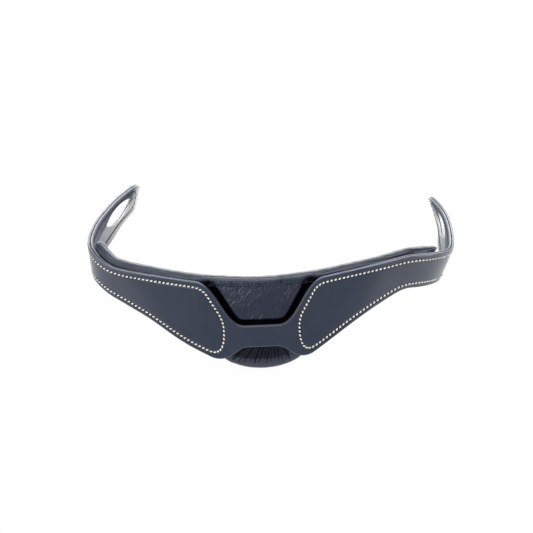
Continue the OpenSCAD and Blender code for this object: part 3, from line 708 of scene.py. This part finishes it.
# How the pad ends: (left, right)
PAD_END = (191.0, 201.0)   # where the cover ends
ROLL_TAPER = (0.12, 0.45)  # share of the roll's thickness lost towards its end
ROLL_TUCK = (1.9, 2.6)     # how much nearer to the strap the roll lies towards its end
ROLL_END, PANEL_END = (9.0, 26.0), 20.0        # over what length each is rounded off
TAPER_FROM, TUCK_REACH, END_LEAST = 140.0, 50.0, 0.0016
# How far the roll's top falls on the right, and how that is rounded
ROLL_FALL, FALL_ROUND = ((0, 0), (70, 0), (100, 0.8), (128, 2.8), (146, 3.4), (163, 1.2),
                         (185, -1.2), (210, -1.6)), 6
FOOT_WIDER, FOOT_POWER = 3.0, 0.7              # the foot's outline is fuller than its solid's
TUCK_PAST, TUCK_BLEND = 10.0, 14.0             # where the crease comes down behind the wings

PAD_STEP, FINE_STEP, FINE_S, END_STEPS = 2.2, 0.65, 62.0, 18
OUTLINE_CUTS = 12          # points of the smooth outline to each point of the CAD outline
CREASE_I = 6               # where the crease is in the outline, and then the roll's back
BACK_I = CREASE_I + 2 + len(PANEL)
ROLL_COLUMNS, FACE_COLUMNS, BACK_COLUMNS = 48, 128, 40
PART = np.repeat([0, 1, 2], [ROLL_COLUMNS, FACE_COLUMNS, BACK_COLUMNS])
# The angle round the roll at each of its columns, in degrees
TURN = np.append(np.linspace(-30, 210, ROLL_COLUMNS, endpoint=False),
                 np.zeros(FACE_COLUMNS + BACK_COLUMNS))


def pad_top(k, a):
    near = soft(((0, PAD_TOP_MID), (NOTCH_MOUTH, WING_TOP + ROLL_RISE),
                 (FRONT_S, CORNER_TOP + ROLL_RISE)), a, PAD_ROUND)
    fall = (k == RIGHT) * soft(ROLL_FALL, a, FALL_ROUND)
    return np.where(a > NOTCH_MOUTH + 2 * PAD_ROUND, top_z(k, a) + ROLL_RISE - fall, near - fall)


def pad_low(k, a):
    table = [((FOOT_HALF + FOOT_WIDER) * u, -PAD_DROP * (1 - u * u) ** FOOT_POWER)
             for u in (0, 1 / 3, 2 / 3, 0.9, 1)]
    table += [(s, float(low_z(k, s)) + PAD_INSET) for s in (PAD_JOIN_S, PAD_JOIN_S + PAD_JOIN)]
    return np.where(a > PAD_JOIN_S + OUTLINE_ROUND, low_z(k, a) + PAD_INSET,
                    soft(table, a, OUTLINE_ROUND))


def circle_end(k, a, length):
    u = np.clip((a - PAD_END[k] + length) / length, 0, 1)
    return math.sqrt(max(1 - u * u, END_LEAST))


def tucked(a):
    """1 in the notch, where the crease is tucked up under the roll, 0 behind the wings."""
    return smooth_step((NOTCH_MOUTH + TUCK_PAST - np.abs(a)) / TUCK_BLEND)


def crease_height(k, a):
    low = pad_top(k, a) - 2 * ROLL_R - CREASE_GAP
    high = pad_top(k, a) - ROLL_R + TUCK_SHARE * ROLL_R * math.sin(math.radians(TUCK_ANGLE))
    return mix(low, high, tucked(a))


def pad_outline(k, a):
    """Outline (d, z) of the pad: round the roll to the crease, down the panel and up its back."""
    top, low = float(pad_top(k, a)), float(pad_low(k, a))
    thick = PAD_T * (1 - PAD_TAPER * a / PAD_S)
    nearer = ROLL_TUCK[k] * float(smooth_step((a - TAPER_FROM) / TUCK_REACH))
    c = np.array([ROLL_D - nearer, top - ROLL_R])
    tuck, y = float(tucked(a)), float(crease_height(k, a))
    mid = np.array([PAD_FACE_D + 0.45 * thick, (y + low) / 2])

    def arc(angles):
        return [c + ROLL_R * np.array([math.cos(math.radians(t)), math.sin(math.radians(t))])
                for t in angles]

    across = mix(-CREASE_SHARE, TUCK_SHARE * math.cos(math.radians(TUCK_ANGLE)), tuck) * ROLL_R
    crease = [np.array([ROLL_D + across, y]),
              np.array([PAD_FACE_D + 1, y - mix(CREASE_FALL, TUCK_FALL, tuck)])]
    panel = [np.array([PAD_FACE_D + p * thick, y - q * (y - low)]) for p, q in PANEL]
    roll_end, panel_end = circle_end(k, a, ROLL_END[k]), circle_end(k, a, PANEL_END)
    roll_end *= 1 - ROLL_TAPER[k] * float(smooth_step((a - TAPER_FROM) / (PAD_END[k] - TAPER_FROM)))
    by_roll = [c + (p - c) * roll_end for p in arc(np.linspace(60, mix(210, 192, tuck), 6))]
    back = [c + (p - c) * roll_end for p in arc((-30, 0, 30))]
    by_crease = [(c + (p - c) * roll_end + mid + (p - mid) * panel_end) / 2 for p in crease]
    by_panel = [mid + (p - mid) * panel_end for p in panel]
    return np.array(by_roll + by_crease + by_panel + back)


def rounded(outline, cuts):
    """A closed curve through an outline's points."""
    p0, p1 = np.roll(outline, 1, 0), outline
    p2, p3 = np.roll(outline, -1, 0), np.roll(outline, -2, 0)
    t = (np.arange(cuts) / cuts)[None, :, None]
    p0, p1, p2, p3 = (p[:, None] for p in (p0, p1, p2, p3))
    curve = 0.5 * (2 * p1 + (p2 - p0) * t + (2 * p0 - 5 * p1 + 4 * p2 - p3) * t ** 2
                   + (3 * p1 - p0 - 3 * p2 + p3) * t ** 3)
    return curve.reshape(-1, 2)


def waves(seed, u, v, size, count=7):
    """Smooth waves of about the given size, of unit height."""
    rng = np.random.default_rng(seed)
    total = 0
    for _ in range(count):
        angle, phase = rng.uniform(0, math.tau), rng.uniform(0, math.tau)
        f, across = rng.uniform(0.7, 1.4), u * math.cos(angle) + v * math.sin(angle)
        total = total + np.sin(across * f * math.tau / size + phase)
    return total / math.sqrt(count)


def bump(x, middle, width):
    return np.exp(-((x - middle) / width) ** 2)


def half_stations(end):
    return np.concatenate([
        np.arange(FINE_STEP, FINE_S, FINE_STEP), np.arange(FINE_S, end - PANEL_END, PAD_STEP),
        end - PANEL_END * (1 - np.sin(np.linspace(0, math.pi / 2, END_STEPS)))])


pad_stations = np.concatenate([-half_stations(PAD_END[LEFT])[::-1], [0],
                               half_stations(PAD_END[RIGHT])])


def to_end(s):
    """How far a place is from the pad's end on its side."""
    return np.where(np.asarray(s) < 0, PAD_END[LEFT], PAD_END[RIGHT]) - np.abs(s)


def side_of(s):
    return RIGHT if s > 0 else LEFT


def even_steps(curve, count):
    length = running(curve)
    t = np.arange(count) / count * length[-1]
    return np.stack([np.interp(t, length, curve[:, c]) for c in (0, 1)], 1)


def pad_ring(k, a):
    """The cover's outline at even steps: over the roll, down the face to the foot, up the back."""
    curve = rounded(pad_outline(k, a), OUTLINE_CUTS)
    roll_i, face_i, foot_i = (OUTLINE_CUTS * i
                              for i in (BACK_I, CREASE_I, CREASE_I + 2 + FOOT_POINT))
    pieces = ((np.concatenate([curve[roll_i:], curve[:face_i + 1]]), ROLL_COLUMNS),
              (curve[face_i:foot_i + 1], FACE_COLUMNS), (curve[foot_i:roll_i + 1], BACK_COLUMNS))
    return np.concatenate([even_steps(c, n) for c, n in pieces])


def pad_points(s, z, d):
    left, right = (at(k, np.abs(s), z, d) for k in (LEFT, RIGHT))
    return np.where((s < 0)[..., None], left, right)


CORNER_SOFT, FOOT_NARROW = 2.4, 1.3        # how the drawn-in line rounds the notch's corners


def in_notch(s, z):
    """About how far inside the notch a place is, from the nearest of its three edges."""
    slope = np.array([WING_TOP - BRIDGE_TOP, NOTCH_MOUTH - NOTCH_FOOT])
    slope = slope / np.linalg.norm(slope)
    side = (z - BRIDGE_TOP) * slope[1] - (np.abs(s) - NOTCH_FOOT) * slope[0]
    foot_side = FOOT_NARROW * (z - BRIDGE_TOP)
    return -CORNER_SOFT * np.logaddexp(-side / CORNER_SOFT, -foot_side / CORNER_SOFT)


STREAK_WIDTH = 0.24        # more makes the wrinkles wider


def streaks(seed, s, z, angle, size, spread=0.3, count=9):
    """Sharp-bottomed wrinkles that run in about one direction, between -1 and 0."""
    rng = np.random.default_rng(seed)
    total = 0
    for _ in range(count):
        t = angle + math.pi / 2 + rng.uniform(-spread, spread)
        w, phase = size * rng.uniform(0.7, 1.6), rng.uniform(0, math.tau)
        total = total + np.sin((s * math.cos(t) + z * math.sin(t)) * math.tau / w + phase)
    return -np.exp(-(total / (STREAK_WIDTH * math.sqrt(count))) ** 2)


GROOVE, GROOVE_IN, GROOVE_OUT = 8.0, 7.4, 9.0      # depth, and reach to each side
# The cover's wrinkles: (seed, direction in degrees, size, depth), and small waves between them
WRINKLES, RIPPLE = ((5, 42, 5.8, 0.52), (6, 54, 4.2, 0.40)), 0.08
FAN, FAN_PITCH = (12.0, 38.0), 0.088       # where the gathers run out from, radians between two
GATHER, GATHER_WIDTH, GATHER_SWELL = 1.5, 0.42, 0.2
SHADE, SHADE_REACH = 0.62, 40              # how far the foot is drawn in below the arch, which also gives it painted shade there through the darker leather
PLEAT_ROLL, PLEAT_FACE, PLEAT_ANGLE, PLEAT_SPREAD = 0.95, 0.45, 186, 28
LINE_DEPTH, LINE_ANGLE, LINE_WIDTH, DENT = 0.5, 122, 5, 0.10   # along the top of the roll


def groove(s, z, below):
    """How deep the panel is drawn in along the strap's edge in the notch."""
    w = in_notch(s, z)
    return (GROOVE * smooth_step((GROOVE_IN - w) / GROOVE_IN) * smooth_step((w + GROOVE_OUT) / 5)
            * smooth_step(below / 3) * smooth_step((z - BRIDGE_TOP + 8) / 5))


def relief(s, z, crease_z):
    """Height of the wrinkles, gathers and pleats on the cover, mm."""
    face, roll = PART[None] == 1, PART[None] == 0
    middle = smooth_step((FINE_S - 2 - np.abs(s)) / 8)
    # The slack panel in the notch
    inside = smooth_step((in_notch(s, z) + 1) / 4) * face
    patch = np.clip(0.6 + 0.5 * waves(9, s, z, 34, 4) - s / 130, 0.15, 1)
    h = inside * patch * sum(depth * streaks(seed, s, z, math.radians(angle), size)
                             for seed, angle, size, depth in WRINKLES)
    h = h + RIPPLE * inside * waves(8, s, z, 3.2, 11)
    # Gathers that run out over the foot from below the arch
    turn, far = np.arctan2(s - FAN[0], FAN[1] - z), np.hypot(s - FAN[0], FAN[1] - z)
    phase = math.pi * (turn / FAN_PITCH + 0.20 * waves(11, turn * 40, 0.5 * far, 22, 5))
    deep = np.clip(0.75 + 0.4 * waves(13, turn * 40, 0 * z, 8, 4), 0.25, 1.1)
    end = -12 + 3 * waves(17, turn * 40, 0 * z, 7, 4)
    length = smooth_step((z - end) / 8) * smooth_step((BRIDGE_TOP - z) / 8)
    line = -np.exp(-(np.sin(phase) / GATHER_WIDTH) ** 2)
    h = h + face * middle * length * (GATHER * deep * line + GATHER_SWELL * np.cos(2 * phase))
    # the foot drawn in below the arch, deep enough to take the painted shade of the darker leather
    shade = SHADE * face * middle * smooth_step((z + 9) / 9) * smooth_step((BRIDGE_TOP - z) / 8)
    h = h - shade * bump(s, 0, SHADE_REACH)
    # Pleats on the roll's underside and just below it
    pleat = streaks(21, s, 0.35 * z, math.radians(90), 2.9, 0.2)
    h = h + roll * middle * PLEAT_ROLL * pleat * bump(TURN, PLEAT_ANGLE, PLEAT_SPREAD)
    h = h + face * middle * PLEAT_FACE * pleat * bump(crease_z - z, 1, 4) * (crease_z - z > -4)
    # A soft line along the top of the roll, and small dents
    h = h - roll * LINE_DEPTH * bump(TURN, LINE_ANGLE + 4 * np.sin(s / 23), LINE_WIDTH)
    return h + roll * DENT * waves(31, s, TURN[None] / 8, 11, 7)


VOXEL, PRESSURE, SIM_FRAMES, SWELL_CAP = 0.0045, 4.0, 20, 3.5
CLEAR_OF_STRAP = 0.7
# Where the cloth is held: columns from the crease, the foot and the top, and mm from the ends
HELD_BY_CREASE, HELD_BY_FOOT, HELD_FIRST, HELD_LAST, HELD_END = 7, 4, 3, 6, 6
NEIGHBOURS = 6             # of the cloth's points that each point of the cover follows


def search_tree(points):
    tree = KDTree(len(points))
    for i, p in enumerate(points):
        tree.insert(p, i)
    tree.balance()
    return tree


def swelling(s, grid, faces):
    """How far each point of the cover moves, (d, z), when the pad is blown up as cloth."""
    points = pad_points(s, grid[..., 1], grid[..., 0])
    flat = points.reshape(-1, 3)
    rough = make_piece("pad_rough", flat, faces, (PAD,), smooth=None)
    remesh = rough.modifiers.new("remesh", "REMESH")
    remesh.mode, remesh.voxel_size = "VOXEL", VOXEL
    mesh = bpy.data.meshes.new_from_object(
        rough.evaluated_get(bpy.context.evaluated_depsgraph_get()))
    bpy.data.objects.remove(rough)
    cloth_piece = new_object("pad_cloth", mesh)
    rest = np.array([v.co for v in mesh.vertices])
    tree = search_tree(flat)
    n = grid.shape[1]
    held = []
    for i, p in enumerate(rest):
        row, column = divmod(tree.find(p)[1], n)
        if (abs(column - ROLL_COLUMNS) < HELD_BY_CREASE or column < HELD_FIRST
                or column > n - HELD_LAST or to_end(pad_stations[row]) < HELD_END
                or abs(column - ROLL_COLUMNS - FACE_COLUMNS) < HELD_BY_FOOT):
            held.append(i)
    pins = cloth_piece.vertex_groups.new(name="pins")
    pins.add(held, 1.0, "REPLACE")
    cloth = cloth_piece.modifiers.new("cloth", "CLOTH")
    cloth.settings.vertex_group_mass = "pins"
    cloth.settings.use_pressure = True
    cloth.settings.uniform_pressure_force = PRESSURE
    cloth.settings.effector_weights.gravity = 0
    cloth.point_cache.frame_start, cloth.point_cache.frame_end = 1, SIM_FRAMES
    scene = bpy.context.scene
    for number in range(1, SIM_FRAMES + 1):
        scene.frame_set(number)
    swollen = cloth_piece.evaluated_get(bpy.context.evaluated_depsgraph_get()).to_mesh()
    moved = np.array([v.co for v in swollen.vertices]) - rest
    scene.frame_set(1)
    bpy.data.objects.remove(cloth_piece)
    reach = np.linalg.norm(moved, axis=1, keepdims=True)
    moved = moved * np.minimum(1, SWELL_CAP * MM / np.maximum(reach, 1e-9))
    near = search_tree(rest)
    move = np.zeros((len(flat), 3))
    for i, p in enumerate(flat):
        found = near.find_n(p, NEIGHBOURS)
        weight = np.array([1 / (f[2] + 1e-4) ** 2 for f in found])
        move[i] = weight @ moved[[f[1] for f in found]] / weight.sum()
    move = move.reshape(points.shape)
    along = [unit(pad_points(s, grid[..., 1] + dz, grid[..., 0] + dd) - points)
             for dz, dd in ((0, 0.5), (0.5, 0))]
    change = np.stack([(move * axis).sum(-1) for axis in along], -1) / MM
    least = np.minimum(STRAP_T + CLEAR_OF_STRAP - grid[..., 0], 0)
    change[..., 0] = np.maximum(change[..., 0], least)
    return change


SEAM_DEPTH, SEAM_COLUMNS = 0.5, 1.1
SEAM_AT = (ROLL_COLUMNS * 0.36, ROLL_COLUMNS + FACE_COLUMNS)
# The roll is drawn in where it faces the strap, from just inside the notch's mouth outwards, deep
# enough there to take the painted shade of the darker leather
GAP_CARVED, GAP_ANGLE, GAP_WIDTH, GAP_INSIDE, GAP_BLEND = 1.7, 182, 24, 11, 8


def outwards(grid):
    tangent = np.roll(grid, -1, 1) - np.roll(grid, 1, 1)
    return unit(np.stack([tangent[..., 1], -tangent[..., 0]], -1) + 1e-9)


def smooth_pad():
    """Signed distances and outline (d, z) of the pad before its wrinkles."""
    grid = np.array([pad_ring(side_of(s), abs(s)) for s in pad_stations])
    rows, n = grid.shape[:2]
    s = np.broadcast_to(pad_stations[:, None], (rows, n))
    grid = grid + swelling(s, grid, solid_faces(rows, n))
    crease_z = np.array([float(crease_height(side_of(v), abs(v))) for v in pad_stations])[:, None]
    drawn = groove(s, grid[..., 1], crease_z - grid[..., 1]) * (PART[None] == 1)
    behind_strap = smooth_step((np.abs(s) - NOTCH_MOUTH + GAP_INSIDE) / GAP_BLEND)
    drawn = drawn + GAP_CARVED * (PART[None] == 0) * bump(TURN, GAP_ANGLE, GAP_WIDTH) * behind_strap
    return s, grid - outwards(grid) * drawn[..., None], crease_z, drawn


DIM_BELOW, DEEP_BELOW = 0.50, 1.10     # how deep a fold is, in mm, before its leather takes a darker copy as painted shade
# painted shade along the crease, over how many columns, and how much of it the slack panel is
# spared
CREASE_DARK, CREASE_COLUMNS, SLACK = 1.2, 1.3, 0.45


def pad_cover(s, grid, crease_z, drawn):
    """The sewn cover with its wrinkles; darker copies of its leather paint shade in its folds, less
    so in the slack panel.
    """
    near_end = smooth_step((to_end(s) - 6) / 10)
    h = relief(s, grid[..., 1], crease_z)
    columns = np.arange(s.shape[1])[None]
    for place in SEAM_AT:
        h = h - SEAM_DEPTH * bump(columns, place, SEAM_COLUMNS)
    slack = smooth_step((in_notch(s, grid[..., 1]) - 1) / 3)
    slack = SLACK * slack * smooth_step((crease_z - grid[..., 1] + 4) / 4)
    crease = CREASE_DARK * bump(columns, ROLL_COLUMNS, CREASE_COLUMNS) * (to_end(s) > 8)
    depth = drawn - h * (1 - slack) + crease
    around = sum(np.roll(depth, (-i, -j), (0, 1)) for i in (0, 1) for j in (0, 1)) / 4
    # painted shade: the deeper a place lies, the darker the copy of the pad leather it takes
    kinds = (around > DIM_BELOW).astype(int) + (around > DEEP_BELOW)
    grid = grid + outwards(grid) * (h * near_end)[..., None]
    points = pad_points(s, grid[..., 1], grid[..., 0]).reshape(-1, 3)
    points[:, 2] = np.maximum(points[:, 2], 0)     # the soft foot lies flat on the floor
    return make_piece("pad_cover", points, solid_faces(*s.shape), (PAD, SHADED_PAD, DEEP_SHADED_PAD),
                      np.append(kinds[:-1].ravel(), [0, 0]), smooth=None)


pad_s, pad_grid, pad_crease, pad_drawn = smooth_pad()
pad = pad_cover(pad_s, pad_grid, pad_crease, pad_drawn)
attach(pad, "front")
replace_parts(pad, "pad_front_cover", "pad_back_cover")

# ---- inside the pad

FOAM_INSET = 2.6           # from the cover's smooth outline: its leather and its wrinkles
FOAM_END = PANEL_END * 0.6
ROW_STEP, COLUMN_STEP = 3, 4


def foam(name, picked, node):
    """A foam core: the picked columns of the cover's outline, drawn in."""
    rows = np.flatnonzero(to_end(pad_stations) > FOAM_END)[::ROW_STEP]
    inner = (pad_grid - outwards(pad_grid) * FOAM_INSET)[rows][:, picked]
    s = pad_s[rows][:, picked]
    points = pad_points(s, inner[..., 1], inner[..., 0]).reshape(-1, 3)
    piece = make_piece(name, points, solid_faces(*s.shape), (FOAM,))
    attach(piece, "front")
    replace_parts(piece, node)


foam("roll_foam", np.arange(0, ROLL_COLUMNS, COLUMN_STEP), "pad_roll_foam")
foam("panel_foam", np.arange(ROLL_COLUMNS + 10, len(PART) - 3, COLUMN_STEP), "pad_panel_foam")

for side, _ in SIDES:
    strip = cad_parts[f"{side}_fixing_strip"]
    strip.data.materials.clear()
    strip.data.materials.append(WEB)

# ---- floor, light and camera

FLOOR_GLOW, FLOOR_SIZE, FLOOR_Z = 0.95, 12.0, -0.0002
WORLD_LIGHT = 0.34


def two_faced(owner, output, plain, seen, rays, share=1.0):
    """One shader that lights the scene, and another that two kinds of rays see in its place."""
    add, link = fresh_nodes(owner)
    choice, path = add("ShaderNodeMixShader"), add("ShaderNodeLightPath")
    either = add("ShaderNodeMath", operation="MAXIMUM")
    amount = add("ShaderNodeMath", {1: share}, operation="MULTIPLY")
    for i in (0, 1):
        link(path.outputs[rays[i]], either.inputs[i])
        link(add(*(plain, seen)[i]).outputs[0], choice.inputs[i + 1])
    link(either.outputs[0], amount.inputs[0])
    link(amount.outputs[0], choice.inputs[0])
    link(choice.outputs[0], add(output).inputs[0])


# A white floor to the camera and in reflections, where it also keeps the collar's shadow
bpy.ops.mesh.primitive_plane_add(size=FLOOR_SIZE, location=(0, 0, FLOOR_Z))
floor = bpy.context.object
floor.name = "floor"
floor.data.materials.append(bpy.data.materials.new("floor"))
two_faced(floor.data.materials[0], "ShaderNodeOutputMaterial",
          ("ShaderNodeBsdfDiffuse", {"Color": (0.86, 0.86, 0.87, 1)}),
          ("ShaderNodeEmission", {"Color": (*WHITE, 1)}),
          ("Is Camera Ray", "Is Glossy Ray"), FLOOR_GLOW)

world = bpy.data.worlds.new("studio")
bpy.context.scene.world = world
two_faced(world, "ShaderNodeOutputWorld",
          ("ShaderNodeBackground", {"Color": (0.93, 0.96, 1.0, 1), "Strength": WORLD_LIGHT}),
          ("ShaderNodeBackground", {"Color": (*WHITE, 1), "Strength": 1.0}),
          ("Is Camera Ray", "Is Camera Ray"))

# Lamps: where each stands and what it is turned to, its size and its power
AIM = (0, 0.1, 0.05)
LAMPS = {"softbox_back": ((0.0, 2.4, 0.92), AIM, (3.8, 1.8), 95),
         "softbox_front_left": ((-1.75, -0.65, 0.5), AIM, (1.4, 1.0), 20),
         "softbox_front_right": ((1.8, -0.6, 0.5), AIM, (1.4, 1.0), 22),
         "softbox_top": ((0.0, 0.1, 1.9), (0, 0.1, 0), (1.2, 1.2), 16),
         "softbox_front_high": ((-0.75, -1.1, 1.15), AIM, (0.7, 0.7), 6)}
for name, (place, aim, size, power) in LAMPS.items():
    lamp = bpy.data.lights.new(name, "AREA")
    lamp.shape, lamp.energy = "RECTANGLE", power
    lamp.size, lamp.size_y = size
    box = new_object(name, lamp)
    box.location = place
    line = np.array(aim, float) - np.array(place, float)
    box.rotation_euler = Vector(line).to_track_quat("-Z", "Y").to_euler()

# The camera as fitted to the photograph: it looks along -back from this place, in millimetres
CAMERA_TURN, CAMERA_RISE, CAMERA_ROLL = (math.radians(v) for v in (-1.36, 41.38, 2.09))
CAMERA_FAR, CAMERA_TARGET, CAMERA_SHIFT = 1144.5, (0, 120, 50), (-1.75, 13.35)
FOCAL_PIXELS, PHOTO_PIXELS, SENSOR = 1060.1, 533, 36.0

sa, ca, se, ce = (f(v) for v in (CAMERA_TURN, CAMERA_RISE) for f in (math.sin, math.cos))
back = np.array([sa * ce, -ca * ce, se])
right = np.array([ca, sa, 0])
up = np.cross(right, -back)
cr, sr = math.cos(CAMERA_ROLL), math.sin(CAMERA_ROLL)
right, up = cr * right + sr * up, -sr * right + cr * up
place = (np.array(CAMERA_TARGET) + CAMERA_FAR * back - CAMERA_SHIFT[0] * right
         - CAMERA_SHIFT[1] * up) * MM
lens = bpy.data.cameras.new("camera")
lens.sensor_width = SENSOR
lens.lens = FOCAL_PIXELS / PHOTO_PIXELS * SENSOR
lens.clip_start, lens.clip_end = 0.01, 50
camera = new_object("camera", lens)
columns = np.array([right, up, back, place]).T
camera.matrix_world = Matrix([*columns.tolist(), [0, 0, 0, 1]])
bpy.context.scene.camera = camera
bpy.context.scene.view_settings.view_transform = "Standard"
